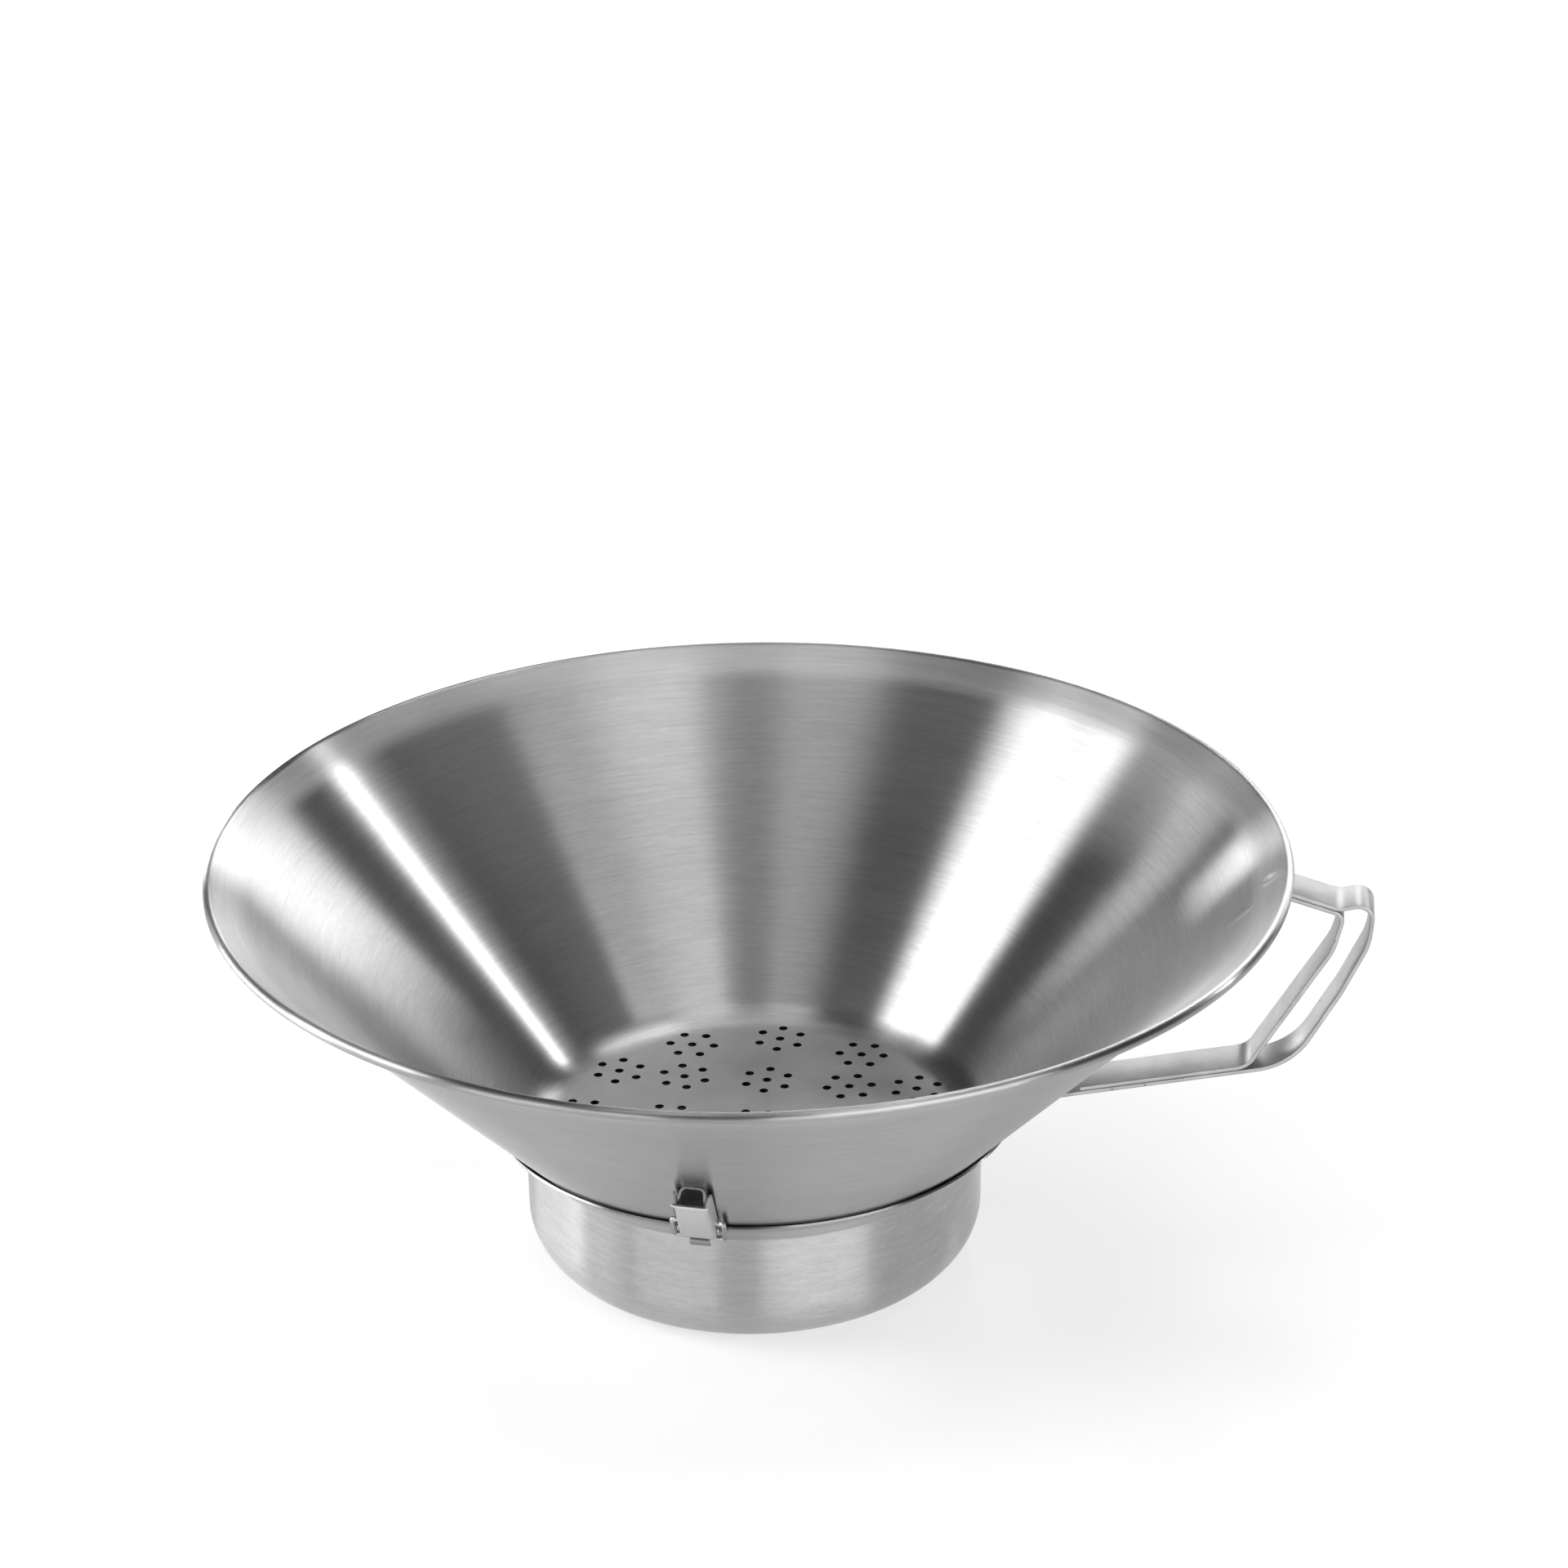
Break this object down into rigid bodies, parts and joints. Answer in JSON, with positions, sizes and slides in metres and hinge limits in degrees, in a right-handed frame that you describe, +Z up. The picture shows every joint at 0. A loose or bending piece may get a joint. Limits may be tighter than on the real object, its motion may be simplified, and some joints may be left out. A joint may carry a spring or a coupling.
{
  "type": "frying strainer",
  "caption": "Wide spun steel funnel with a perforated bottom on a round drip cup, held by over-centre latches, with a double-strap side handle.",
  "frame": {"origin": "centre of the cup's flat base, where it stands", "axes": "+Z up along the axis of the funnel, +X towards the handle, -Z into the table"},
  "size_m": [0.3756, 0.35, 0.1434],
  "materials": {
    "spun_steel": "brushed around the axis",
    "strap_steel": "brushed along the strap",
    "latch_steel": "satin",
    "wire_steel": "bright drawn"
  },
  "bodies": {
    "strainer": {"funnel": "spun_steel", "drip_cup": "spun_steel", "handle_outer": "strap_steel", "handle_inner": "strap_steel", "base_a": "latch_steel", "pin_a": "wire_steel", "keeper_a": "latch_steel", "base_b": "latch_steel", "pin_b": "wire_steel", "keeper_b": "latch_steel"},
    "lever_a_body": {"lever_a": "latch_steel"},
    "bail_a_body": {"bail_a": "wire_steel"},
    "lever_b_body": {"lever_b": "latch_steel"},
    "bail_b_body": {"bail_b": "wire_steel"}
  },
  "joints": [
    {"name": "lever_a_hinge", "type": "hinge", "parent": "strainer", "child": "lever_a_body", "pos_m": [-0.00553, -0.09191, 0.05647], "axis": [0.9974, 0.0025, -0.0718], "range_deg": [0, 90]},
    {"name": "bail_a_hinge", "type": "hinge", "parent": "lever_a_body", "child": "bail_a_body", "pos_m": [-0.00515, -0.09664, 0.06161], "axis": [0.9974, 0.0025, -0.0718], "range_deg": [-70, 0]},
    {"name": "lever_b_hinge", "type": "hinge", "parent": "strainer", "child": "lever_b_body", "pos_m": [0.0061, 0.09189, 0.05649], "axis": [-0.9978, 0.0663, 0], "range_deg": [0, 90]},
    {"name": "bail_b_hinge", "type": "hinge", "parent": "lever_b_body", "child": "bail_b_body", "pos_m": [0.00642, 0.0966, 0.06165], "axis": [-0.9978, 0.0663, 0], "range_deg": [-70, 0]}
  ],
  "couplings": [
    {"joint": "bail_a_hinge", "follows": "lever_a_hinge", "ratio": -0.7},
    {"joint": "bail_b_hinge", "follows": "lever_b_hinge", "ratio": -0.7}
  ]
}
